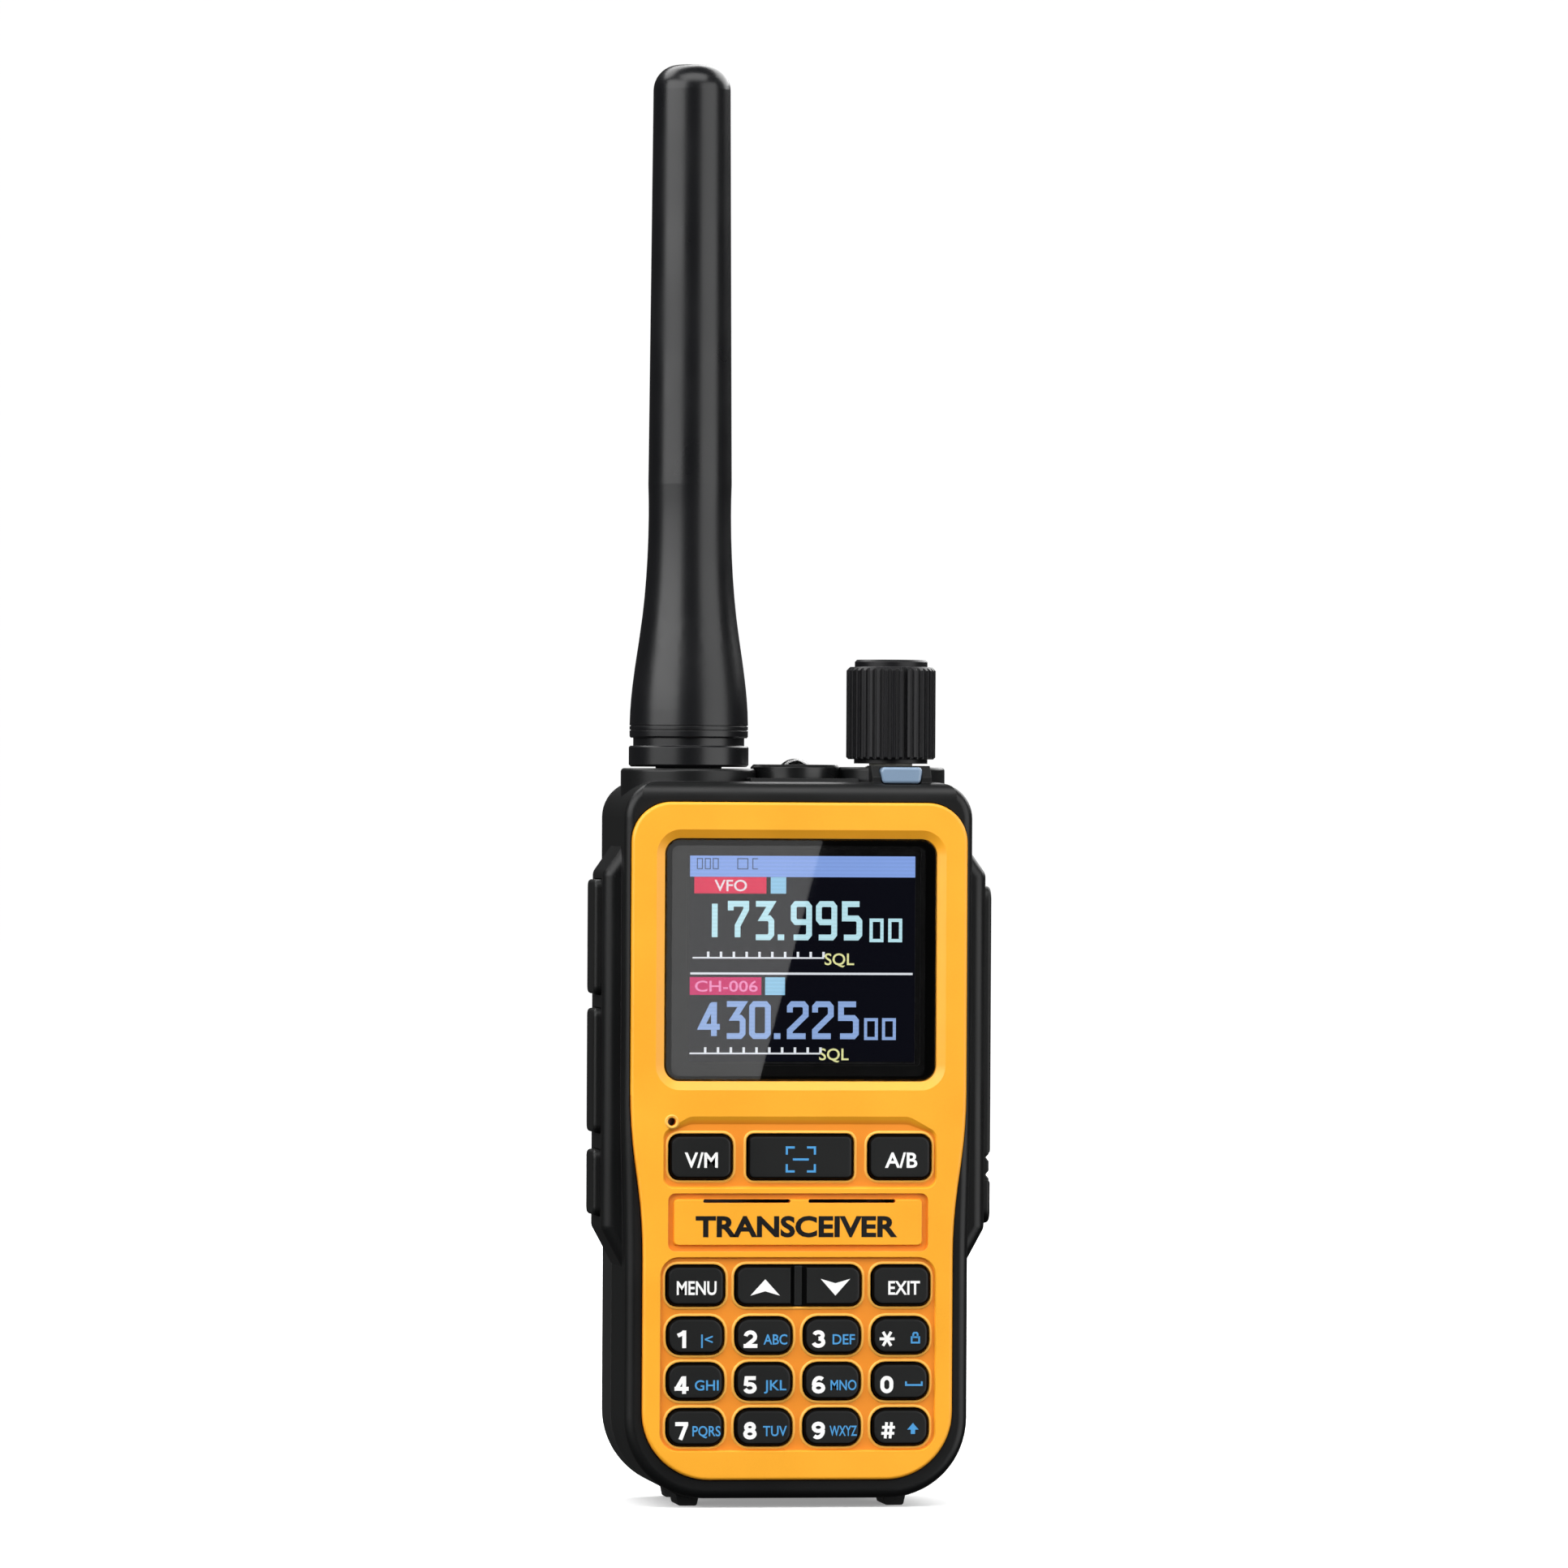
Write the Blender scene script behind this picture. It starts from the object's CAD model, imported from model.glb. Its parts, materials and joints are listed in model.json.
import json
import math

import bmesh
import bpy
from mathutils import Matrix, Vector


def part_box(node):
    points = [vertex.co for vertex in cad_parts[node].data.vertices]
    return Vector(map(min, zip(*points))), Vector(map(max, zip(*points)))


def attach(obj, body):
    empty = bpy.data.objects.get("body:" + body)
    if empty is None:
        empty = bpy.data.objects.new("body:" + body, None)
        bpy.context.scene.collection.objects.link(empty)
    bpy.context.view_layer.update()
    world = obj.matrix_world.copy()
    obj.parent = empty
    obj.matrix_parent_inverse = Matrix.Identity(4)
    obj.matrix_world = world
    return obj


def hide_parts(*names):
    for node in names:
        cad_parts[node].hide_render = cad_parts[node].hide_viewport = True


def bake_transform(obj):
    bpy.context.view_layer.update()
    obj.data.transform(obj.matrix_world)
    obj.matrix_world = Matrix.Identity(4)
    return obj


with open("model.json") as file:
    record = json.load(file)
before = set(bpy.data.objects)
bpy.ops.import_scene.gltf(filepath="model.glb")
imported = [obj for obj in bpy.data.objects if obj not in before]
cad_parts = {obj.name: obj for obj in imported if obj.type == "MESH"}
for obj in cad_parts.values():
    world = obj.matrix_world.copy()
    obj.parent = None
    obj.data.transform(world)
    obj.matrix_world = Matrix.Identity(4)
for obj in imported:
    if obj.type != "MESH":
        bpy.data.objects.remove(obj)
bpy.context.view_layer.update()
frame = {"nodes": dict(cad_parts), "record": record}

MM = 0.001

# Camera: a long lens in front, a little to the left, level with the middle of the radio
CAMERA_AZIMUTH = -8.0
CAMERA_LEVEL = 99.6 * MM
CAMERA_AIM_X = -0.3 * MM
CAMERA_DISTANCE = 1.5
CAMERA_ROLL = 0.3           # degrees clockwise
FRAME_HEIGHT = 217.7 * MM
SENSOR = 36.0

FACE_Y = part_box("front_panel")[0].y
MIDDLE_Y = FACE_Y + 14.7 * MM
PRINT = 0.02 * MM           # printed legends stand this far out of the surface they are on
HAIR = 0.003 * MM           # keeps crossing strokes from lying in one plane


# ------------------------------------------------------------------ node helpers

def add(tree, kind, settings=None, **inputs):
    """Adds a node. An input is given a value, or another node's output to link to."""
    node = tree.nodes.new(kind)
    for name, value in (settings or {}).items():
        setattr(node, name, value)
    for name, value in inputs.items():
        feed(tree, node.inputs[name.replace("_", " ")], value)
    return node


def feed(tree, socket, value):
    """Gives an input socket a value or a link."""
    if isinstance(value, bpy.types.NodeSocket):
        tree.links.new(value, socket)
    else:
        socket.default_value = value


def mixed(tree, factor, low, high):
    """Colour that goes from low to high with the factor."""
    node = tree.nodes.new("ShaderNodeMix")
    node.data_type = "RGBA"
    feed(tree, node.inputs[0], factor)
    feed(tree, node.inputs[6], low)
    feed(tree, node.inputs[7], high)
    return node.outputs[2]


def ranged(tree, value, low, high, to_low=0.0, to_high=1.0):
    """Value moved from one range to another, clamped."""
    node = add(tree, "ShaderNodeMapRange", {"clamp": True}, Value=value, From_Min=low, From_Max=high,
               To_Min=to_low, To_Max=to_high)
    return node.outputs[0]


def math_node(tree, operation, first, second):
    """One arithmetic step."""
    node = tree.nodes.new("ShaderNodeMath")
    node.operation = operation
    feed(tree, node.inputs[0], first)
    feed(tree, node.inputs[1], second)
    return node.outputs[0]


def noise(tree, size, detail=2.0, stretch=(1, 1, 1)):
    """Noise in the piece's own coordinates; size is that of its features, in metres."""
    coords = add(tree, "ShaderNodeTexCoord").outputs["Object"]
    if stretch != (1, 1, 1):
        coords = add(tree, "ShaderNodeMapping", Vector=coords, Scale=stretch).outputs[0]
    return add(tree, "ShaderNodeTexNoise", Vector=coords, Scale=1 / size, Detail=detail).outputs[0]


def linear(red, green, blue):
    """Linear colour from 0-255 display values."""
    def one(value):
        part = value / 255
        return part / 12.92 if part <= 0.04045 else ((part + 0.055) / 1.055) ** 2.4
    return (one(red), one(green), one(blue), 1.0)


def scaled(colour, factor):
    """Colour made lighter or darker."""
    return tuple(min(1.0, part * factor) for part in colour[:3]) + (1.0,)


def new_material(name):
    """Empty material and its tree, with an output and a Principled shader joined up."""
    material = bpy.data.materials.new(name)
    material.use_nodes = True
    tree = material.node_tree
    tree.nodes.clear()
    out = add(tree, "ShaderNodeOutputMaterial")
    shader = add(tree, "ShaderNodeBsdfPrincipled")
    tree.links.new(shader.outputs[0], out.inputs["Surface"])
    return material, tree, shader


def reopened(material):
    """Tree, Principled shader and base colour of a finished material, to build on."""
    tree = material.node_tree
    shader = next(node for node in tree.nodes if node.type == "BSDF_PRINCIPLED")
    return tree, shader, shader.inputs["Base Color"].links[0].from_socket


def edge_mask(tree, radius):
    """Bevelled normal, and a mask that is 1 on the edges it rounds."""
    bevelled = add(tree, "ShaderNodeBevel", {"samples": 4}, Radius=radius).outputs[0]
    flat = add(tree, "ShaderNodeNewGeometry").outputs["Normal"]
    dot = add(tree, "ShaderNodeVectorMath", {"operation": "DOT_PRODUCT"})
    tree.links.new(bevelled, dot.inputs[0])
    tree.links.new(flat, dot.inputs[1])
    return bevelled, ranged(tree, dot.outputs["Value"], 0.995, 0.9)


# ------------------------------------------------------------------ materials

BLACK = (0.0045, 0.0048, 0.005, 1.0)
KEY_FACE = (0.0085, 0.009, 0.009, 1.0)
KEY_WALL = (0.0006, 0.0006, 0.0007, 1.0)
BATTERY_BLACK = (0.009, 0.0095, 0.01, 1.0)
CLIP_BLACK = (0.008, 0.0084, 0.009, 1.0)
COVER_BLACK = (0.006, 0.0064, 0.0064, 1.0)
SIDE_KEY_BLACK = (0.0055, 0.0058, 0.0058, 1.0)
ANTENNA_BLACK = (0.0045, 0.0047, 0.0056, 1.0)
KNOB_BLACK = (0.005, 0.005, 0.006, 1.0)
BLACK_INK = (0.004, 0.004, 0.004, 1.0)
WHITE_INK = (0.9, 0.9, 0.89, 1.0)
PANEL_FACE = (0.95, 0.4, 0.019, 1.0)
PANEL_RECESS = (0.85, 0.267, 0.014, 1.0)
PANEL_RIM = (0.95, 0.46, 0.07, 1.0)
METAL_WEAR = 0.4
PICTURE_LINES = 600.0       # scale of the wave texture: dark lines about 0.5 mm apart


def moulded(name, colour, rough=0.45, grain=0.15 * MM, depth=0.004 * MM, edge=0.12 * MM,
            wear=0.35, specular=0.37, coat=0.0):
    """Moulded plastic or rubber: sparked grain, slow tone and gloss changes, rubbed lighter edges."""
    material, tree, shader = new_material(name)
    bevelled, edges = edge_mask(tree, edge)
    fine = noise(tree, grain)
    slow = noise(tree, 14 * MM, detail=3.0)
    tone = mixed(tree, ranged(tree, slow, 0.3, 0.7), scaled(colour, 0.93), scaled(colour, 1.06))
    speckled = mixed(tree, ranged(tree, fine, 0.35, 0.75, 0.0, 0.18), tone, scaled(colour, 1.35))
    patches = ranged(tree, noise(tree, 1.6 * MM), 0.35, 0.65, 0.3, wear * 2)
    rubbed = math_node(tree, "MULTIPLY", edges, patches)
    lighter = tuple(min(1.0, part + 0.05) for part in colour[:3]) + (1.0,)
    feed(tree, shader.inputs["Base Color"], mixed(tree, rubbed, speckled, lighter))
    gloss = ranged(tree, slow, 0.25, 0.75, rough - 0.05, rough + 0.06)
    feed(tree, shader.inputs["Roughness"], gloss)
    shader.inputs["Specular IOR Level"].default_value = specular
    shader.inputs["Coat Weight"].default_value = coat
    shader.inputs["Coat Roughness"].default_value = 0.2
    bump = add(tree, "ShaderNodeBump", Strength=0.6, Distance=depth, Height=fine, Normal=bevelled)
    feed(tree, shader.inputs["Normal"], bump.outputs[0])
    return material


def panel_plastic():
    """Orange-yellow front panel: satin face, deeper tone in the recesses below the window."""
    material = moulded("panel_plastic", PANEL_FACE, rough=0.4, grain=0.12 * MM, depth=0.002 * MM, wear=0.2,
                       specular=0.5)
    tree, shader, plain = reopened(material)
    coords = add(tree, "ShaderNodeTexCoord").outputs["Object"]
    place = add(tree, "ShaderNodeSeparateXYZ", Vector=coords).outputs
    recess = ranged(tree, place["Y"], FACE_Y + 0.15 * MM, FACE_Y + 0.45 * MM)
    below = math_node(tree, "LESS_THAN", place["Z"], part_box("display_window")[0].z - 2 * MM)
    tone = math_node(tree, "MULTIPLY", recess, below)
    feed(tree, shader.inputs["Base Color"], mixed(tree, tone, plain, PANEL_RECESS))
    return material


def key_plastic():
    """Black key: satin face, with matt walls and edge that read as a dark line round it."""
    material = moulded("key_plastic", KEY_FACE, rough=0.4, grain=0.1 * MM, wear=0.1)
    tree, shader, plain = reopened(material)
    normal = add(tree, "ShaderNodeNewGeometry").outputs["Normal"]
    facing = add(tree, "ShaderNodeSeparateXYZ", Vector=normal).outputs["Y"]
    side = ranged(tree, facing, -0.98, -0.85)
    feed(tree, shader.inputs["Base Color"], mixed(tree, side, plain, KEY_WALL))
    feed(tree, shader.inputs["Specular IOR Level"], ranged(tree, side, 0.0, 1.0, 0.27, 0.03))
    return material


def metal(name, colour, rough=0.3, stretch=(1, 1, 1)):
    """Bare or plated metal with drawn scratches, tarnished patches and rubbed lighter edges."""
    material, tree, shader = new_material(name)
    bevelled, edges = edge_mask(tree, 0.08 * MM)
    lines = noise(tree, 0.25 * MM, detail=4.0, stretch=stretch)
    slow = noise(tree, 5 * MM)
    tone = mixed(tree, ranged(tree, slow, 0.3, 0.7), scaled(colour, 0.85), colour)
    rubbed = math_node(tree, "MULTIPLY", edges, METAL_WEAR)
    feed(tree, shader.inputs["Base Color"], mixed(tree, rubbed, tone, scaled(colour, 1.3)))
    shader.inputs["Metallic"].default_value = 1.0
    feed(tree, shader.inputs["Roughness"], ranged(tree, lines, 0.3, 0.7, rough - 0.08, rough + 0.12))
    bump = add(tree, "ShaderNodeBump", Strength=0.4, Distance=0.003 * MM, Height=lines, Normal=bevelled)
    feed(tree, shader.inputs["Normal"], bump.outputs[0])
    return material


def clear(name, tint, rough=0.03, smear=0.02):
    """Clear or tinted moulded lens with faint smears in its gloss."""
    material, tree, shader = new_material(name)
    smears = noise(tree, 9 * MM, detail=4.0)
    feed(tree, shader.inputs["Base Color"],
         mixed(tree, ranged(tree, smears, 0.3, 0.7), tint, scaled(tint, 0.96)))
    feed(tree, shader.inputs["Roughness"], ranged(tree, smears, 0.4, 0.7, rough, rough + smear))
    shader.inputs["Transmission Weight"].default_value = 1.0
    shader.inputs["IOR"].default_value = 1.49
    bump = add(tree, "ShaderNodeBump", Strength=0.03, Distance=0.001 * MM, Height=smears)
    feed(tree, shader.inputs["Normal"], bump.outputs[0])
    return material


def lit(name, colour):
    """Lit display element, crossed by the fine dark lines between its rows of cells."""
    material, tree, shader = new_material(name)
    coords = add(tree, "ShaderNodeTexCoord").outputs["Object"]
    cells = add(tree, "ShaderNodeTexWave", {"wave_type": "BANDS", "bands_direction": "Z"},
                Vector=coords, Scale=PICTURE_LINES).outputs[0]
    glow = mixed(tree, ranged(tree, cells, 0.0, 1.0, 0.0, 0.16), colour, scaled(colour, 0.4))
    shader.inputs["Base Color"].default_value = (0.0, 0.0, 0.0, 1.0)
    shader.inputs["Specular IOR Level"].default_value = 0.0
    feed(tree, shader.inputs["Emission Color"], glow)
    shader.inputs["Emission Strength"].default_value = 1.0
    feed(tree, shader.inputs["Roughness"], ranged(tree, cells, 0.0, 1.0, 0.4, 0.5))
    return material


def board():
    """Green circuit board with a pattern of copper tracks under the lacquer."""
    material, tree, shader = new_material("circuit_board")
    coords = add(tree, "ShaderNodeTexCoord").outputs["Object"]
    tracks = add(tree, "ShaderNodeTexBrick", {"offset": 0.35}, Vector=coords, Scale=900.0,
                 Mortar_Size=0.06, Color1=linear(18, 84, 40), Color2=linear(22, 96, 48),
                 Mortar=linear(60, 140, 62))
    feed(tree, shader.inputs["Base Color"], tracks.outputs["Color"])
    feed(tree, shader.inputs["Roughness"], ranged(tree, noise(tree, 2 * MM), 0.3, 0.7, 0.25, 0.4))
    bump = add(tree, "ShaderNodeBump", Strength=0.3, Distance=0.02 * MM, Height=tracks.outputs["Fac"])
    feed(tree, shader.inputs["Normal"], bump.outputs[0])
    return material


MATERIALS = {
    "shell_plastic": moulded("shell_plastic", BLACK, rough=0.38, wear=0.2, specular=0.27),
    "panel_plastic": panel_plastic(),
    "window_clear": clear("window_clear", (0.97, 0.975, 0.98, 1.0), rough=0.004, smear=0.008),
    "display_frame": moulded("display_frame", (0.001, 0.001, 0.0012, 1.0), rough=0.3, depth=0.001 * MM,
                             specular=0.1),
    "key_plastic": key_plastic(),
    "silicone": moulded("silicone", linear(120, 124, 128), rough=0.55),
    "dome_metal": metal("dome_metal", linear(205, 200, 188), rough=0.28),
    "circuit_board": board(),
    "speaker_metal": metal("speaker_metal", linear(120, 120, 124), rough=0.4),
    "capsule": metal("capsule", linear(190, 190, 192), rough=0.35),
    "shield_metal": metal("shield_metal", linear(196, 197, 200), rough=0.33, stretch=(1, 1, 12)),
    "plate_metal": metal("plate_metal", linear(168, 170, 174), rough=0.4, stretch=(12, 1, 1)),
    "steel": metal("steel", linear(150, 152, 156), rough=0.3),
    "gold_contact": metal("gold_contact", linear(230, 184, 96), rough=0.22),
    "jack_plastic": moulded("jack_plastic", BLACK, rough=0.35),
    "cover_rubber": moulded("cover_rubber", COVER_BLACK, rough=0.5, grain=0.25 * MM, specular=0.3),
    "side_key_rubber": moulded("side_key_rubber", SIDE_KEY_BLACK, rough=0.46, grain=0.25 * MM,
                               specular=0.27),
    "nut_metal": metal("nut_metal", linear(40, 40, 43), rough=0.35),
    "antenna_rubber": moulded("antenna_rubber", ANTENNA_BLACK, rough=0.3, grain=0.1 * MM,
                              depth=0.0015 * MM, wear=0.1),
    "knob_plastic": moulded("knob_plastic", KNOB_BLACK, rough=0.4, wear=0.15, specular=0.25),
    "shaft_plastic": moulded("shaft_plastic", linear(196, 194, 186), rough=0.4),
    "bezel_plastic": moulded("bezel_plastic", BLACK, rough=0.28),
    "torch_clear": clear("torch_clear", (0.62, 0.64, 0.66, 1.0), rough=0.06),
    "led_white": moulded("led_white", linear(236, 228, 172), rough=0.3),
    "status_clear": moulded("status_clear", linear(120, 142, 166), rough=0.2, coat=0.6),
    "battery_plastic": moulded("battery_plastic", BATTERY_BLACK, rough=0.42, wear=0.3, specular=0.5),
    "cell_wrap": moulded("cell_wrap", linear(46, 92, 160), rough=0.3),
    "clip_plastic": moulded("clip_plastic", CLIP_BLACK, rough=0.36, wear=0.35, specular=0.5),
}


def ink(name, colour, rough=0.5):
    """Printed ink."""
    return moulded(name, colour, rough=rough, grain=0.08 * MM, edge=0.02 * MM, wear=0.0)


WHITE_PRINT = ink("white_print", WHITE_INK)
BLUE_PRINT = ink("blue_print", linear(72, 150, 208))
BLACK_PRINT = ink("black_print", BLACK_INK, rough=0.35)
RIM_PLASTIC = moulded("rim_plastic", PANEL_RIM, rough=0.4, grain=0.12 * MM, depth=0.002 * MM, wear=0.1)


def dress_cad_nodes():
    """Gives every CAD node the material of its record slot."""
    for part in frame["record"]["subparts"]:
        mesh = frame["nodes"][part["node"]].data
        mesh.materials.clear()
        mesh.materials.append(MATERIALS[part["material_slot"]])


# ------------------------------------------------------------------ mesh helpers

def place_piece(name, mesh, material, body):
    """Object made of a mesh, dressed, and riding on its body unless that is None."""
    mesh.materials.clear()
    mesh.materials.append(material)
    piece = bpy.data.objects.new(name, mesh)
    bpy.context.scene.collection.objects.link(piece)
    if body:
        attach(piece, body)
    return piece


def finish_piece(name, shape, material, body):
    """Object made of a bmesh, with its normals facing out."""
    bmesh.ops.recalc_face_normals(shape, faces=shape.faces)
    mesh = bpy.data.meshes.new(name)
    shape.to_mesh(mesh)
    shape.free()
    return place_piece(name, mesh, material, body)


def rounded(x0, x1, z0, z1, radius, steps=6):
    """Outline of a rectangle with round corners, as (x, z) points."""
    points = []
    corners = ((x1 - radius, z1 - radius, 0), (x0 + radius, z1 - radius, 90),
               (x0 + radius, z0 + radius, 180), (x1 - radius, z0 + radius, 270))
    for x, z, start in corners:
        for step in range(steps + 1):
            angle = math.radians(start + 90 * step / steps)
            points.append((x + radius * math.cos(angle), z + radius * math.sin(angle)))
    return points


def prism(shape, points, front, back):
    """Adds a closed prism: an (x, z) outline between two depths."""
    near = [shape.verts.new((x, front, z)) for x, z in points]
    far = [shape.verts.new((x, back, z)) for x, z in points]
    shape.faces.new(near)
    shape.faces.new(far[::-1])
    for k in range(len(points)):
        shape.faces.new((near[k - 1], near[k], far[k], far[k - 1]))


def closed_band(shape, levels):
    """Adds a ring-shaped solid: (outline, y) pairs joined one to the next, and the last to the first."""
    loops = [[shape.verts.new((x, y, z)) for x, z in outline] for outline, y in levels]
    for near, far in zip(loops, loops[1:] + loops[:1]):
        for k in range(len(near)):
            shape.faces.new((near[k - 1], near[k], far[k], far[k - 1]))


def ring(shape, outer, inner, front, back):
    """Adds a closed frame between two outlines of equal length."""
    closed_band(shape, ((outer, front), (inner, front), (inner, back), (outer, back)))


def offset_line(points, distance, closed):
    """Points moved sideways from a line, with mitred corners."""
    moved = []
    count = len(points)
    for k, point in enumerate(points):
        before = points[k - 1] if closed or k else None
        after = points[(k + 1) % count] if closed or k < count - 1 else None
        normals = []
        for start, end in ((before, point), (point, after)):
            if start is not None and end is not None:
                along = (Vector(end) - Vector(start)).normalized()
                normals.append(Vector((-along.y, along.x)))
        mitre = normals[0] if len(normals) == 1 else (
            (normals[0] + normals[1]) / (1 + normals[0].dot(normals[1])))
        moved.append(tuple(Vector(point) + mitre * distance))
    return moved


def stroke(shape, points, width, front, back, closed=False):
    """Adds a flat line of even width that follows (x, z) points."""
    left = offset_line(points, width / 2, closed)
    right = offset_line(points, -width / 2, closed)
    if closed:
        ring(shape, left, right, front, back)
    else:
        prism(shape, left + right[::-1], front, back)


# ------------------------------------------------------------------ printed legends

def text_mesh(name, words, bold):
    """Mesh of upright text with a cap height of 1, centred on its own box."""
    def flat(letters, weight):
        curve = bpy.data.curves.new(name, "FONT")
        curve.body = letters
        curve.offset = weight
        curve.extrude = 0.01
        curve.resolution_u = 4
        holder = bpy.data.objects.new(name, curve)
        bpy.context.scene.collection.objects.link(holder)
        bpy.context.view_layer.update()
        graph = bpy.context.evaluated_depsgraph_get()
        mesh = bpy.data.meshes.new_from_object(holder.evaluated_get(graph))
        bpy.data.objects.remove(holder)
        return mesh
    capital = flat("H", bold)
    cap = max(v.co.y for v in capital.vertices) - min(v.co.y for v in capital.vertices)
    mesh = flat(words, bold)
    xs = [v.co.x for v in mesh.vertices]
    middle = ((min(xs) + max(xs)) / 2, cap / 2 - bold, 0)
    mesh.transform(Matrix.Translation([-part for part in middle]))
    mesh.transform(Matrix.Scale(1 / cap, 4))
    return mesh, (max(xs) - min(xs)) / cap


def legend(name, words, centre, height, front, material, body, width, bold):
    """Printed word that faces the front; cap height and width are in metres."""
    mesh, natural = text_mesh(name, words, bold)
    squeeze = width / (natural * height)
    zs = [v.co.z for v in mesh.vertices]
    thick = 2 * PRINT / (max(zs) - min(zs))
    mesh.transform(Matrix.Diagonal((height * squeeze, height, thick, 1)))
    mesh.transform(Matrix.Rotation(math.radians(90), 4, "X"))
    mesh.transform(Matrix.Translation((centre[0], front, centre[1])))
    place_piece(name, mesh, material, body)


def cap_face(node):
    """Centre (x, z) and front depth of a key cap."""
    low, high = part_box(node)
    return ((low.x + high.x) / 2, (low.z + high.z) / 2), low.y


# Blue letters of each number key and their width, mm
LETTER_KEYS = {
    "1": ("|<", 1.6), "2": ("ABC", 3.3), "3": ("DEF", 3.1), "4": ("GHI", 3.3), "5": ("JKL", 3.1),
    "6": ("MNO", 3.6), "7": ("PQRS", 3.9), "8": ("TUV", 3.3), "9": ("WXYZ", 3.8),
}
DIGIT_SHIFT = -1.92         # from the middle of the cap, mm
LETTER_SHIFT = 1.55
LEGEND_DROP = -0.43
LETTER_DROP = -0.48
DIGIT_HEIGHT = 2.42         # mm
LETTER_HEIGHT = 1.4
DIGIT_WEIGHT = 0.225        # line width as a part of the height
SIGN_WEIGHT = 0.162         # the same for the star and the hash


def bow(x, z, wide, high, start, end, steps=14):
    """Points of an elliptical arc from one angle to another, in degrees."""
    turns = [math.radians(start + (end - start) * k / steps) for k in range(steps + 1)]
    return [(x + wide * math.cos(turn), z + high * math.sin(turn)) for turn in turns]


def digit_lines(sign):
    """Centre lines of a bold key digit of height 1: (points, closed) of each stroke."""
    if sign == "9":
        return [([(-x, 1 - z) for x, z in points], closed) for points, closed in digit_lines("6")]
    return {
        "0": [(bow(0, 0.6, 0.26, 0.28, 0, 180) + bow(0, 0.4, 0.26, 0.28, 180, 360), True)],
        "1": [([(-0.24, 0.7), (-0.04, 0.79), (0.12, 0.88)], False), ([(0.13, 0), (0.13, 1)], False)],
        "2": [(bow(0, 0.64, 0.27, 0.2475, 172, -42) + [(-0.2, 0.15)], False),
              ([(-0.39, 0.1125), (0.4, 0.1125)], False)],
        "3": [(bow(-0.02, 0.705, 0.245, 0.1825, 165, -88), False),
              (bow(-0.02, 0.32, 0.28, 0.2075, 88, -168), False)],
        "4": [([(0.08, 0.93), (-0.27, 0.32)], False), ([(-0.41, 0.29), (0.4, 0.29)], False),
              ([(0.14, 0), (0.14, 1)], False)],
        "5": [([(-0.25, 0.8875), (0.32, 0.8875)], False), ([(-0.2, 0.98), (-0.26, 0.45)], False),
              (bow(-0.02, 0.33, 0.28, 0.2175, 135, -165), False)],
        "6": [(bow(0, 0.32, 0.27, 0.2075, 0, 345), True), (bow(0.04, 0.5, 0.31, 0.3875, 52, 185), False)],
        "7": [([(-0.36, 0.8875), (0.38, 0.8875)], False), ([(0.27, 0.84), (-0.06, 0.0)], False)],
        "8": [(bow(0, 0.705, 0.225, 0.1825, 0, 345), True), (bow(0, 0.315, 0.27, 0.2025, 0, 345), True)],
        "#": [([(-0.08, 0.04), (0.0, 0.96)], False), ([(0.2, 0.04), (0.28, 0.96)], False),
              ([(-0.3, 0.33), (0.44, 0.33)], False), ([(-0.26, 0.67), (0.48, 0.67)], False)],
        "*": [([(-0.43, 0.5), (0.43, 0.5)], False), ([(-0.23, 0.1), (0.23, 0.9)], False),
              ([(-0.23, 0.9), (0.23, 0.1)], False)],
    }[sign]


def key_digit(node, sign):
    """Bold white digit on a key; each stroke is a hair higher than the last, so none are coplanar."""
    (x, z), front = cap_face(node)
    width = (SIGN_WEIGHT if sign in "#*" else DIGIT_WEIGHT) * DIGIT_HEIGHT * MM
    shape = bmesh.new()
    for k, (points, closed) in enumerate(digit_lines(sign)):
        placed = [(x + (DIGIT_SHIFT + px * DIGIT_HEIGHT) * MM,
                   z + (LEGEND_DROP + (pz - 0.5) * DIGIT_HEIGHT) * MM) for px, pz in points]
        stroke(shape, placed, width, front - PRINT - k * HAIR, front + PRINT, closed)
    body = "press_" + node[4:]
    finish_piece("digit_" + node[4:], shape, WHITE_PRINT, body)


def digit_legends():
    """White digits with small blue letters on the twelve number keys."""
    for digit, (letters, width) in LETTER_KEYS.items():
        key_digit("key_" + digit, digit)
        (x, z), front = cap_face("key_" + digit)
        centre = (x + LETTER_SHIFT * MM, z + LETTER_DROP * MM)
        legend("letters_" + digit, letters, centre, LETTER_HEIGHT * MM, front, BLUE_PRINT,
               "press_" + digit, width=width * MM, bold=0.012)
    for node, sign in (("key_0", "0"), ("key_hash", "#"), ("key_star", "*")):
        key_digit(node, sign)


def icon(name, node, body, lines, width, material):
    """Line drawing on a key: closed or open lines in mm about the cap's centre."""
    (x, z), front = cap_face(node)
    shape = bmesh.new()
    for points, closed in lines:
        moved = [(x + px * MM, z + pz * MM) for px, pz in points]
        stroke(shape, moved, width * MM, front - PRINT, front + PRINT, closed)
    finish_piece(name, shape, material, body)


def filled(name, node, body, outlines, material):
    """Solid drawing on a key, from outlines in mm about the cap's centre."""
    (x, z), front = cap_face(node)
    shape = bmesh.new()
    for points in outlines:
        prism(shape, [(x + px * MM, z + pz * MM) for px, pz in points], front - PRINT, front + PRINT)
    finish_piece(name, shape, material, body)


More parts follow.
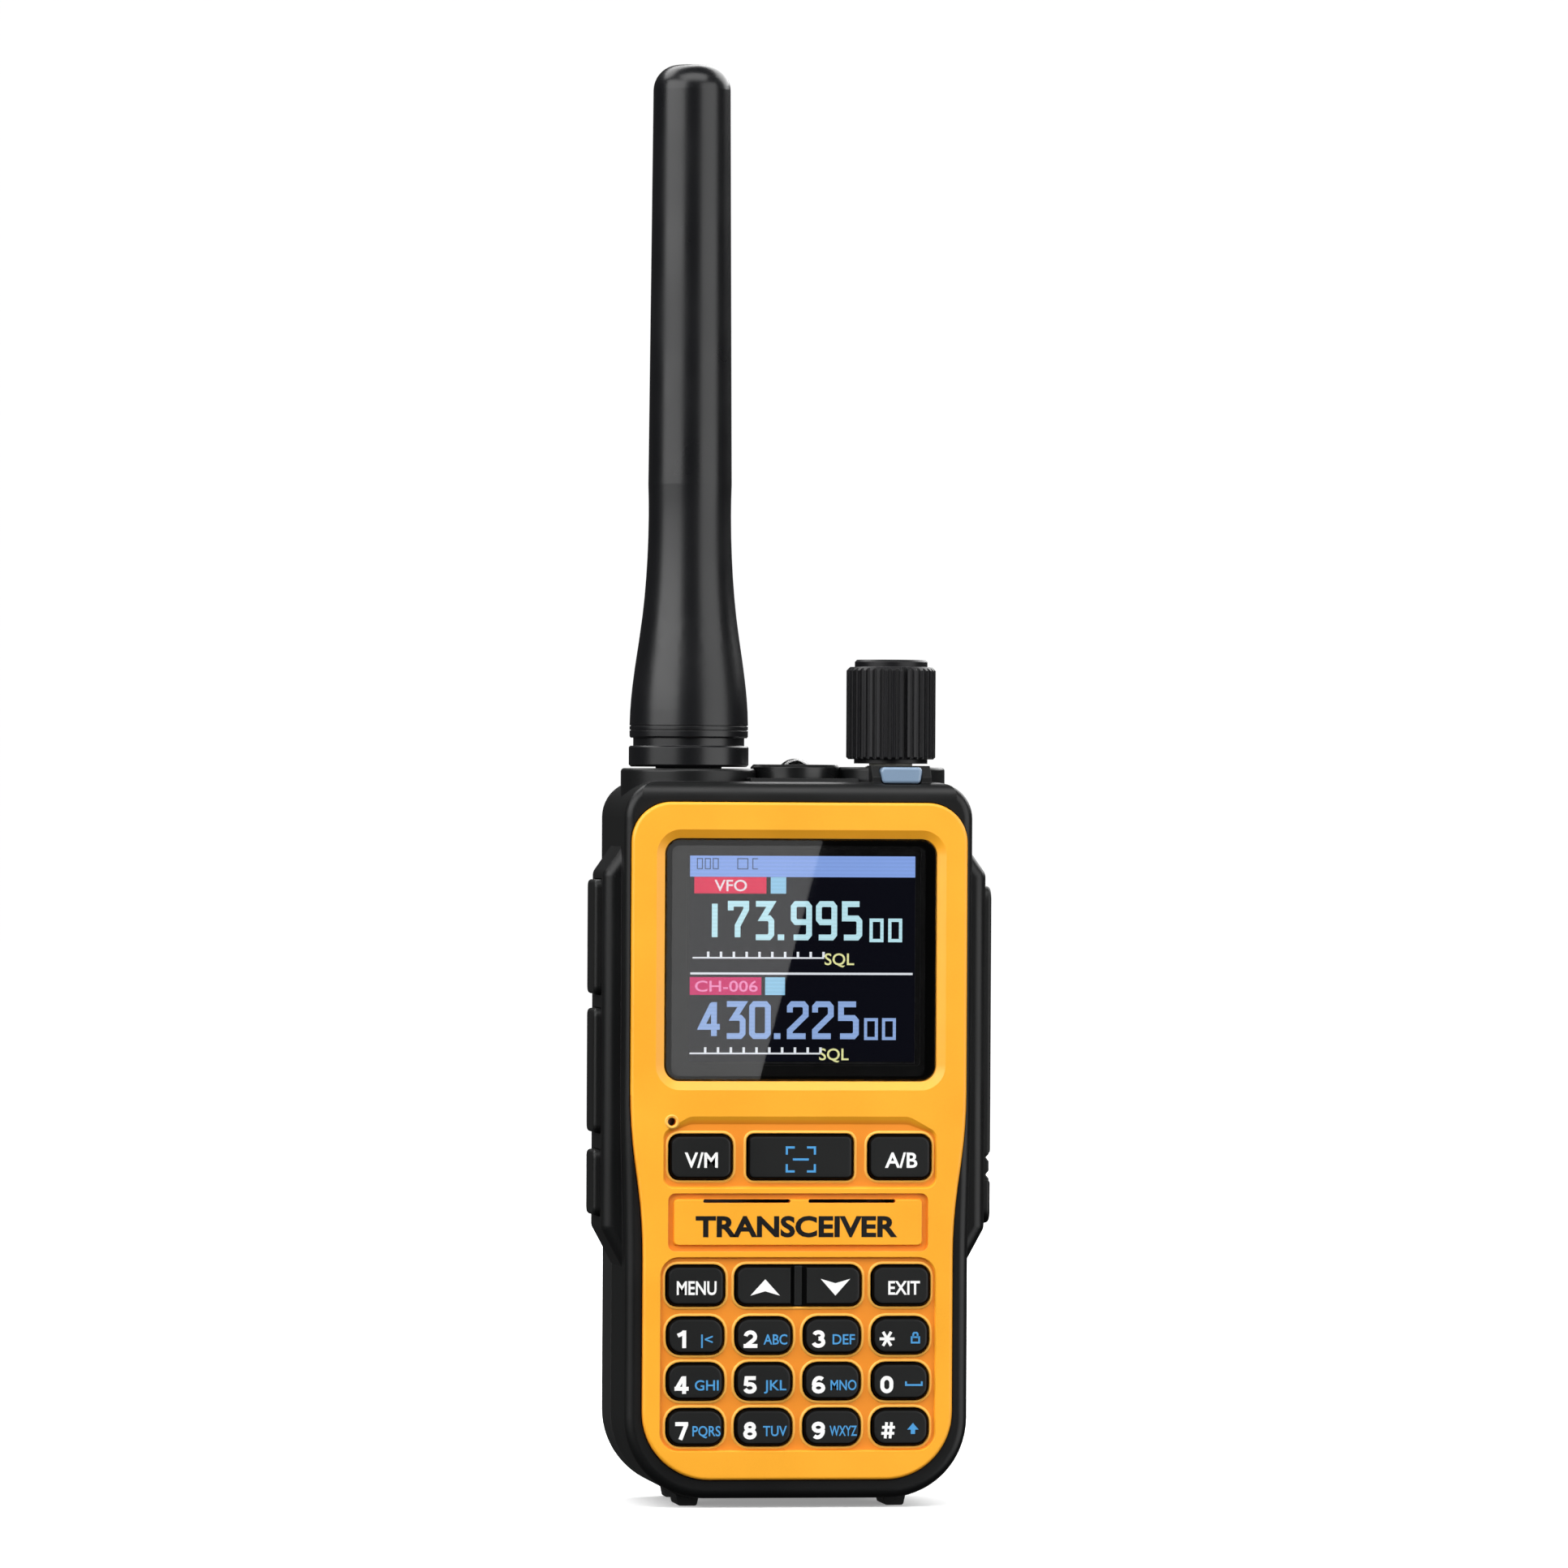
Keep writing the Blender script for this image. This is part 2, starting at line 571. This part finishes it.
def icon_legends():
    """Lock, space bar, arrows and the scan frame."""
    body_box = [(1.5, -0.95), (2.55, -0.95), (2.55, -0.2), (1.5, -0.2)]
    shackle = [(1.72, -0.2), (1.72, 0.25), (1.85, 0.4), (2.2, 0.4), (2.33, 0.25), (2.33, -0.2)]
    icon("lock_star", "key_star", "press_star", [(body_box, True), (shackle, False)], 0.24, BLUE_PRINT)
    space = [(0.75, 0.0), (0.75, -0.5), (2.95, -0.5), (2.95, 0.0)]
    icon("space_0", "key_0", "press_0", [(space, False)], 0.26, BLUE_PRINT)
    arrow = [(1.45, -0.95), (2.05, -0.95), (2.05, -0.35), (2.55, -0.35), (1.75, 0.55), (0.95, -0.35),
             (1.45, -0.35)]
    filled("arrow_hash", "key_hash", "press_hash", [arrow], BLUE_PRINT)
    up = [(-6.7, -1.35), (-4.65, -0.75), (-2.6, -1.35), (-4.65, 0.9)]
    down = [(3.05, 0.95), (5.1, 0.35), (7.15, 0.95), (5.1, -1.35)]
    filled("arrows_up_down", "key_up_down", "rocker", [up, down], WHITE_PRINT)
    corners = []
    for side in (1, -1):
        for rise in (1, -1):
            corner = [(0.85, 1.65), (1.95, 1.65), (1.95, 0.65)]
            corners.append(([(side * px, rise * pz - 0.3) for px, pz in corner], False))
    corners.append(([(-1.1, -0.3), (1.1, -0.3)], False))
    icon("scan_frame", "key_scan", "press_scan", corners, 0.3, BLUE_PRINT)


# Node, body, word, shift and rise of its middle, cap height and width, mm
WORD_KEYS = (
    ("key_vm", "press_vm", "V/M", 0.0, -0.4, 2.1, 4.6),
    ("key_ab", "press_ab", "A/B", 0.15, -0.4, 2.1, 4.5),
    ("key_menu", "press_menu", "MENU", 0.1, -0.3, 1.9, 5.5),
    ("key_exit", "press_exit", "EXIT", 0.4, -0.3, 1.9, 4.4),
)
PANEL_WORD_PLACE = (-0.3 * MM, 38.75 * MM)
PANEL_WORD_SIZE = (28.0 * MM, 2.9 * MM)


def word_legends():
    """White words on the four named keys, and the plain word on the front panel."""
    for node, body, words, shift, rise, height, width in WORD_KEYS:
        (x, z), front = cap_face(node)
        legend("word_" + node, words, (x + shift * MM, z + rise * MM), height * MM, front, WHITE_PRINT,
               body, width=width * MM, bold=0.02)
    width, height = PANEL_WORD_SIZE
    legend("panel_word", "TRANSCEIVER", PANEL_WORD_PLACE, height, FACE_Y, BLACK_PRINT, "chassis",
           width=width, bold=0.035)


# ------------------------------------------------------------------ display

# Squared digits, 1 wide and GLYPH_HIGH high: (points, closed) of each stroke
GLYPH_HIGH = 1.75
GLYPHS = {
    "o": [([(0, 0), (1, 0), (1, 1.75), (0, 1.75)], True)],
    "0": [([(0.15, 0), (0.85, 0), (1, 0.15), (1, 1.6), (0.85, 1.75), (0.15, 1.75), (0, 1.6),
            (0, 0.15)], True)],
    "1": [([(0.6, 0), (0.6, 1.75)], False)],
    "2": [([(0, 1.3), (0, 1.6), (0.15, 1.75), (0.85, 1.75), (1, 1.6), (1, 1.15), (0, 0.3), (0, 0),
            (1, 0)], False)],
    "3": [([(0, 1.75), (1, 1.75), (0.45, 1.0), (0.85, 1.0), (1, 0.85), (1, 0.15), (0.85, 0), (0, 0)],
           False)],
    "4": [([(0.7, 1.75), (0, 0.5), (1.15, 0.5)], False), ([(0.78, 1.85), (0.78, 0)], False)],
    "5": [([(1, 1.75), (0.05, 1.75), (0.05, 1.0), (0.85, 1.0), (1, 0.85), (1, 0.15), (0.85, 0), (0, 0)],
           False)],
    "7": [([(0, 1.4), (0, 1.75), (1, 1.75), (1, 1.45), (0.45, 0.6), (0.45, 0)], False)],
    "9": [([(0.15, 0.8), (1, 0.8), (1, 1.6), (0.85, 1.75), (0.15, 1.75), (0, 1.6), (0, 0.95)], True),
          ([(1, 0.8), (1, 0.15), (0.85, 0), (0, 0)], False)],
}
PICTURE = (-15.1, 16.4, 61.4, 90.1)          # lit area of the display, mm
LAYER = 0.03 * MM           # thickness of one layer of the picture
POINT_PITCH = 1.75          # room that the decimal point takes, mm
ICON_LINE = 0.14 * MM
TICK_PITCH = 1.78
MASK_GAP = 0.1 * MM         # between the mask and the window's edge
MASK_MARGIN = 0.5 * MM      # between the mask and the picture
MASK_ROUNDS = (2.0 * MM, 0.4 * MM)           # of its corners, outside and inside


def display_number(shape, words, left, base, width, height, pitch, line, front):
    """Adds a row of squared digits; sizes in mm."""
    x = left
    for sign in words:
        if sign == ".":
            prism(shape, box_outline(x - 0.45, x + 0.45, base - 0.4, base + 0.4), front, front + LAYER)
            x += POINT_PITCH
            continue
        for points, closed in GLYPHS[sign]:
            placed = [((x + px * width) * MM, (base + pz / GLYPH_HIGH * height) * MM) for px, pz in points]
            stroke(shape, placed, line * MM, front, front + LAYER, closed)
        x += pitch


def box_outline(x0, x1, z0, z1):
    """Corners of a plain rectangle, from mm."""
    return [(x * MM, z * MM) for x, z in ((x0, z0), (x1, z0), (x1, z1), (x0, z1))]


def screen_piece(name, build, material):
    """One lit layer of the picture, standing on the display's glass."""
    shape = bmesh.new()
    build(shape)
    finish_piece(name, shape, material, "chassis")


def level_scale(shape, left, base, right, front):
    """Adds a base line with a row of ticks on it; sizes in mm."""
    prism(shape, box_outline(left, right, base, base + 0.22), front, front + LAYER)
    tick = left + 2.0
    while tick < right:
        prism(shape, box_outline(tick, tick + 0.34, base + 0.22, base + 0.95), front, front + LAYER)
        tick += TICK_PITCH


def display_picture():
    """Lit picture: status bar, two channels with tags, numbers and level scales."""
    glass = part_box("display_module")[0].y + 0.15 * MM
    base, mark, top = glass - LAYER, glass - 2 * LAYER, glass - 3 * LAYER
    x0, x1, z0, z1 = PICTURE

    def ground(shape):
        prism(shape, box_outline(x0, x1, z0, z1), base, base + LAYER)

    def bar(shape):
        prism(shape, box_outline(x0, x1, z1 - 3.3, z1), mark, mark + LAYER)

    def bar_icons(shape):
        low, high = z1 - 2.2, z1 - 0.8
        boxes = [(1.0 + 1.1 * k, 1.7 + 1.1 * k) for k in range(3)] + [(6.6, 8.0)]
        for left, right in boxes:
            outline = box_outline(x0 + left, x0 + right, low, high)
            stroke(shape, outline, ICON_LINE, top, top + LAYER, True)
        corners = ((9.4, high), (8.7, high), (8.7, low), (9.4, low))
        bracket = [((x0 + px) * MM, pz * MM) for px, pz in corners]
        stroke(shape, bracket, ICON_LINE, top, top + LAYER)

    def tag_red(shape):
        prism(shape, box_outline(x0 + 0.6, x0 + 10.6, z1 - 5.6, z1 - 3.32), mark, mark + LAYER)

    def tag_pink(shape):
        prism(shape, box_outline(x0 + 0.03, x0 + 9.97, z1 - 19.55, z1 - 17.1), mark, mark + LAYER)

    def chips(shape):
        prism(shape, box_outline(x0 + 11.2, x0 + 13.35, z1 - 5.6, z1 - 3.32), mark, mark + LAYER)
        prism(shape, box_outline(x0 + 10.5, x0 + 13.25, z1 - 19.55, z1 - 17.1), mark, mark + LAYER)

    def upper(shape):
        display_number(shape, "173.995", x0 + 2.16, z1 - 11.6, 2.15, 4.6, 3.5, 0.8, mark)
        display_number(shape, "oo", x0 + 25.2, z1 - 12.0, 1.5, 2.8, 2.6, 0.45, mark)

    def lower(shape):
        display_number(shape, "430.225", x0 + 1.7, z1 - 25.2, 2.2, 4.4, 3.5, 0.8, mark)
        display_number(shape, "oo", x0 + 24.5, z1 - 25.5, 1.5, 2.6, 2.5, 0.42, mark)

    def scales(shape):
        level_scale(shape, x0 + 0.4, z1 - 14.55, x0 + 18.66, mark)
        level_scale(shape, x0 + 0.05, z1 - 27.7, x0 + 18.2, mark)
        prism(shape, box_outline(x0 + 0.1, x1 - 0.5, z1 - 16.75, z1 - 16.45), mark, mark + LAYER)

    elements = (("ground", ground, (4, 5, 16)), ("bar", bar, (140, 172, 240)),
                ("bar_icons", bar_icons, (70, 92, 128)), ("tag_red", tag_red, (232, 34, 82)),
                ("tag_pink", tag_pink, (214, 30, 108)), ("chips", chips, (150, 206, 238)),
                ("upper", upper, (196, 240, 250)), ("lower", lower, (150, 180, 232)),
                ("scales", scales, (240, 244, 250)))
    for name, build, colour in elements:
        screen_piece("screen_" + name, build, lit("lit_" + name, linear(*colour)))
    screen_words(x0, z1, mark, top)


def screen_words(x0, z1, mark, top):
    """Lit words: left edge and top of the picture in mm, and the depths of two of its layers."""
    white = lit("lit_white", linear(246, 232, 240))
    pink = lit("lit_pink", linear(250, 150, 200))
    pale = lit("lit_pale", linear(240, 240, 170))
    words = (("VFO", x0 + 5.65, z1 - 4.5, 1.55, 4.5, white, top),
             ("CH-006", x0 + 5.1, z1 - 18.35, 1.5, 8.7, pink, top),
             ("SQL", x0 + 20.8, z1 - 14.6, 1.6, 4.1, pale, mark),
             ("SQL", x0 + 20.1, z1 - 27.7, 1.6, 4.1, pale, mark))
    for k, (letters, x, z, height, width, material, front) in enumerate(words):
        legend(f"screen_word_{k}", letters, (x * MM, z * MM), height * MM, front + PRINT, material,
               "chassis", width=width * MM, bold=0.01)


def window_mask():
    """Black border behind the window, round the picture."""
    low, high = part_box("display_window")
    x0, x1, z0, z1 = (part * MM for part in PICTURE)
    outer = rounded(low.x + MASK_GAP, high.x - MASK_GAP, low.z + MASK_GAP, high.z - MASK_GAP,
                    MASK_ROUNDS[0])
    inner = rounded(x0 - MASK_MARGIN, x1 + MASK_MARGIN, z0 - MASK_MARGIN, z1 + MASK_MARGIN,
                    MASK_ROUNDS[1])
    shape = bmesh.new()
    ring(shape, outer, inner, high.y + 0.01 * MM, high.y + 0.05 * MM)
    finish_piece("window_mask", shape, MATERIALS["display_frame"], "chassis")


# ------------------------------------------------------------------ moulded details

KEY_FLANGE = 0.3 * MM       # a key's flange reaches this far past its hole
RIM_WIDTH = 0.42 * MM
RIM_HEIGHT = 0.16 * MM
# Profile of the rim: how far out of the hole and how high, as parts of its width and height
RIM_PROFILE = ((0.02, 0.0), (0.08, 0.7), (0.3, 1.0), (0.6, 0.85), (0.9, 0.3), (1.0, 0.0), (1.0, -0.3),
               (0.02, -0.3))
RECESS = 0.5 * MM           # depth of the floor that the keys stand in
SEAL_GAP = 0.03 * MM
SEAL_INSET = 1.5 * MM
SEAL_WIDTH = 1.2 * MM
SEAL_TOP = 75 * MM          # below the battery's pivot and contacts
SEAL_ROUNDS = (6 * MM, 5 * MM)
WEB_OVERLAP = 0.3 * MM      # of the web with the pieces that it joins
WEB_INSET = 0.9 * MM        # from the front and rear edges of the cover
WEB_CHAMFER = 0.2 * MM
WEB_THIN = 0.5 * MM         # where the web bends
WEB_STEPS = 60
# Corner radius of each key hole, mm
HOLE_ROUND = {"key_vm": 1.5, "key_scan": 1.0, "key_ab": 1.5, "key_menu": 1.6, "key_exit": 1.6,
              "key_up_down": 1.6}
DIGIT_ROUND = 2.0
PAD_KEYS = ["key_" + sign for sign in ("1", "2", "3", "star", "4", "5", "6", "0", "7", "8", "9", "hash")]


def key_rims():
    """Low round-topped rim moulded round every key hole."""
    shape = bmesh.new()
    for node in list(HOLE_ROUND) + PAD_KEYS:
        low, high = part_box(node)
        radius = HOLE_ROUND.get(node, DIGIT_ROUND) * MM
        x0, x1 = low.x + KEY_FLANGE, high.x - KEY_FLANGE
        z0, z1 = low.z + KEY_FLANGE, high.z - KEY_FLANGE
        levels = []
        for grow, rise in RIM_PROFILE:
            out = grow * RIM_WIDTH
            outline = rounded(x0 - out, x1 + out, z0 - out, z1 + out, radius + out, steps=5)
            levels.append((outline, FACE_Y + RECESS - rise * RIM_HEIGHT))
        closed_band(shape, levels)
    piece = finish_piece("key_rims", shape, RIM_PLASTIC, "chassis")
    for face in piece.data.polygons:
        face.use_smooth = True


def microphone_ring():
    """Low pale ring moulded round the microphone hole."""
    low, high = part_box("microphone")
    x, z = (low.x + high.x) / 2, (low.z + high.z) / 2
    outer, crest, inner = ([(x + px, z + pz) for px, pz in bow(0, 0, reach, reach, 0, 337.5, 15)]
                           for reach in (1.12 * MM, 0.85 * MM, 0.58 * MM))
    root = FACE_Y + 0.1 * MM
    shape = bmesh.new()
    closed_band(shape, ((outer, root), (crest, FACE_Y - 0.14 * MM), (inner, FACE_Y - 0.06 * MM),
                        (inner, root)))
    finish_piece("microphone_ring", shape, RIM_PLASTIC, "chassis")


def battery_seal():
    """Foam frame on the back plate that fills the slit in front of the battery."""
    low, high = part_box("back_plate")
    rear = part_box("battery_contacts")[0].y - SEAL_GAP
    near, far = SEAL_INSET, SEAL_INSET + SEAL_WIDTH
    outer = rounded(low.x + near, high.x - near, low.z + near, SEAL_TOP, SEAL_ROUNDS[0])
    inner = rounded(low.x + far, high.x - far, low.z + far, SEAL_TOP - SEAL_WIDTH, SEAL_ROUNDS[1])
    shape = bmesh.new()
    ring(shape, outer, inner, high.y - 0.01 * MM, rear)
    finish_piece("battery_seal", shape, MATERIALS["cover_rubber"], "chassis")


def web_profile(bottom, top, outer, thin):
    """Outside of the web, as (z, x) points, with a V-groove at each end that it bends at."""
    return [(bottom - WEB_OVERLAP, outer), (bottom + 0.2 * MM, outer), (bottom + 0.75 * MM, thin),
            (bottom + 1.3 * MM, outer), (top - 1.1 * MM, outer), (top - 0.55 * MM, thin),
            (top - 0.1 * MM, outer), (top + WEB_OVERLAP, outer)]


def web_depth(profile, z):
    """Outer x of the web's profile at a height."""
    for (z0, x0), (z1, x1) in zip(profile, profile[1:]):
        if z0 <= z <= z1:
            return x0 + (x1 - x0) * (z - z0) / (z1 - z0)
    return profile[-1][1]


def socket_web():
    """Rubber web between the socket cover and its fixed end; it bends as the cover swings."""
    low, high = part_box("jack_cover_hinge")
    anchor_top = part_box("jack_cover_anchor")[1].z
    cover_low, cover_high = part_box("jack_cover")
    inner = low.x + 0.05 * MM
    profile = web_profile(anchor_top, cover_low.z, cover_high.x - 0.08 * MM, low.x + WEB_THIN)
    start, end = profile[0][0], profile[-1][0]
    heights = [start + (end - start) * k / WEB_STEPS for k in range(WEB_STEPS + 1)]
    shape = bmesh.new()
    rows = []
    y0, y1 = cover_low.y + WEB_INSET, cover_high.y - WEB_INSET
    for z in heights:
        x = web_depth(profile, z)
        rows.append([shape.verts.new(point) for point in (
            (inner, y0, z), (x - WEB_CHAMFER, y0, z), (x, y0 + WEB_CHAMFER, z),
            (x, y1 - WEB_CHAMFER, z), (x - WEB_CHAMFER, y1, z), (inner, y1, z))])
    for below, above in zip(rows, rows[1:]):
        for k in range(len(below)):
            shape.faces.new((below[k - 1], below[k], above[k], above[k - 1]))
    shape.faces.new(rows[0])
    shape.faces.new(rows[-1][::-1])
    web = finish_piece("socket_web", shape, MATERIALS["cover_rubber"], None)
    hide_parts("jack_cover_hinge")
    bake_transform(web)


# ------------------------------------------------------------------ studio

# Sizes and distances in metres
FLOOR_RADIUS = 5.0
FLOOR_GLOW = 0.28           # near the feet; it rises to 1 where the floor meets the dome
ROOM_LEVEL = 0.04
BOX_DISTANCE = 1.2
AIM_Z = 95 * MM
CARD_Y = -1.0
CARD_SIZE = (0.07, 0.12)
CARD_RADIANCE = 1.1
CARD_EDGE = (0.58, 0.35)    # where the edge crosses the window's top and bottom, from its left
# Name, azimuth and elevation in degrees, size in metres, radiance
SOFTBOXES = (
    ("left_box", -59, 22, (1.38, 0.9), 4.6),
    ("right_box", 46, 4, (1.15, 1.3), 2.9),
    ("top_box", 0, 62, (1.4, 0.7), 4.3),
    ("rear_right_box", 140, 32, (1.3, 0.8), 4.2),
    ("rear_left_box", 215, 52, (1.3, 0.5), 4.2),
)


def place_camera():
    """Long lens at the viewing angle, framing FRAME_HEIGHT at the middle of the radio's depth."""
    turn = math.radians(CAMERA_AZIMUTH)
    aim = Vector((CAMERA_AIM_X, MIDDLE_Y, CAMERA_LEVEL))
    data = bpy.data.cameras.new("camera")
    data.sensor_width = SENSOR
    data.lens = SENSOR * CAMERA_DISTANCE / FRAME_HEIGHT
    data.clip_start = 0.05
    data.clip_end = 3 * FLOOR_RADIUS
    camera = bpy.data.objects.new("camera", data)
    camera.location = aim + CAMERA_DISTANCE * Vector((math.sin(turn), -math.cos(turn), 0))
    camera.rotation_euler = (math.radians(90), 0, turn)
    camera.rotation_euler.rotate_axis("Z", math.radians(CAMERA_ROLL))
    bpy.context.scene.collection.objects.link(camera)
    bpy.context.scene.camera = camera
    return camera


def soft_light(name, azimuth, elevation, size, radiance):
    """Softbox at an azimuth and elevation, facing the middle of the radio."""
    data = bpy.data.lights.new(name, "AREA")
    data.shape = "RECTANGLE"
    data.size, data.size_y = size
    data.energy = radiance * math.pi * size[0] * size[1]
    light = bpy.data.objects.new(name, data)
    turn, rise = math.radians(azimuth), math.radians(elevation)
    away = Vector((math.sin(turn) * math.cos(rise), -math.cos(turn) * math.cos(rise), math.sin(rise)))
    light.location = Vector((0, 0, AIM_Z)) + BOX_DISTANCE * away
    light.rotation_euler = away.to_track_quat("Z", "Y").to_euler()
    light.visible_camera = False
    bpy.context.scene.collection.objects.link(light)
    return light


def backdrop_object(name, mesh, material):
    """Part of the studio: seen by the camera, but not mirrored in the radio and casting no light."""
    mesh.materials.append(material)
    backdrop = bpy.data.objects.new(name, mesh)
    bpy.context.scene.collection.objects.link(backdrop)
    backdrop.visible_diffuse = False
    backdrop.visible_glossy = False
    backdrop.visible_transmission = False
    return backdrop


def studio_surroundings():
    """Dim room for soft reflections, and a pale dome behind the floor."""
    world = bpy.data.worlds.new("studio")
    world.use_nodes = True
    sky = world.node_tree.nodes["Background"]
    sky.inputs["Color"].default_value = (1.0, 1.0, 1.0, 1.0)
    sky.inputs["Strength"].default_value = ROOM_LEVEL
    bpy.context.scene.world = world
    mesh = bpy.data.meshes.new("dome")
    shape = bmesh.new()
    bmesh.ops.create_uvsphere(shape, u_segments=48, v_segments=24, radius=FLOOR_RADIUS * 1.02)
    shape.to_mesh(mesh)
    shape.free()
    material, _, shader = new_material("dome")
    shader.inputs["Base Color"].default_value = (0.0, 0.0, 0.0, 1.0)
    shader.inputs["Emission Color"].default_value = (1.0, 1.0, 1.0, 1.0)
    shader.inputs["Emission Strength"].default_value = 1.0
    dome = backdrop_object("dome", mesh, material)
    dome.visible_shadow = False


def studio_floor():
    """Pale floor at the feet, brighter far away so that it meets the dome without a line."""
    mesh = bpy.data.meshes.new("floor")
    shape = bmesh.new()
    bmesh.ops.create_circle(shape, cap_ends=True, segments=96, radius=FLOOR_RADIUS)
    shape.to_mesh(mesh)
    shape.free()
    material, tree, shader = new_material("floor")
    coords = add(tree, "ShaderNodeTexCoord").outputs["Object"]
    away = add(tree, "ShaderNodeVectorMath", {"operation": "LENGTH"})
    tree.links.new(coords, away.inputs[0])
    shader.inputs["Base Color"].default_value = (0.86, 0.86, 0.86, 1.0)
    shader.inputs["Emission Color"].default_value = (1.0, 1.0, 1.0, 1.0)
    feed(tree, shader.inputs["Emission Strength"],
         ranged(tree, away.outputs["Value"], 0.08, 0.5, FLOOR_GLOW, 1.0))
    shader.inputs["Roughness"].default_value = 0.6
    shader.inputs["Specular IOR Level"].default_value = 0.06
    backdrop_object("floor", mesh, material)


def window_card(camera):
    """Pale card that the window mirrors; its right edge crosses the window at a slant."""
    low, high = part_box("display_window")
    eye = camera.location

    def mirrored(across, up):
        """Where the camera's view of a window point (as fractions of its size) meets the card."""
        point = Vector((low.x + across * (high.x - low.x), low.y, low.z + up * (high.z - low.z)))
        ray = point - eye
        ray.y = -ray.y
        return point + ray * ((low.y - CARD_Y) / -ray.y)

    top, bottom = mirrored(CARD_EDGE[0], 1.0), mirrored(CARD_EDGE[1], 0.0)
    up = (top - bottom).normalized()
    right = up.cross(Vector((0, -1, 0)))
    card = soft_light("window_card", 0, 0, CARD_SIZE, CARD_RADIANCE)
    card.location = (top + bottom) / 2 - right * CARD_SIZE[0] / 2
    card.rotation_euler = Matrix((right, up, (0, -1, 0))).transposed().to_euler()


def light_studio(camera):
    """Tall softboxes left and right, one above, two high behind, and the card for the window."""
    studio_surroundings()
    studio_floor()
    for softbox in SOFTBOXES:
        soft_light(*softbox)
    window_card(camera)


bpy.context.scene.view_settings.view_transform = "Standard"
light_studio(place_camera())
dress_cad_nodes()
digit_legends()
icon_legends()
word_legends()
display_picture()
window_mask()
key_rims()
microphone_ring()
battery_seal()
socket_web()
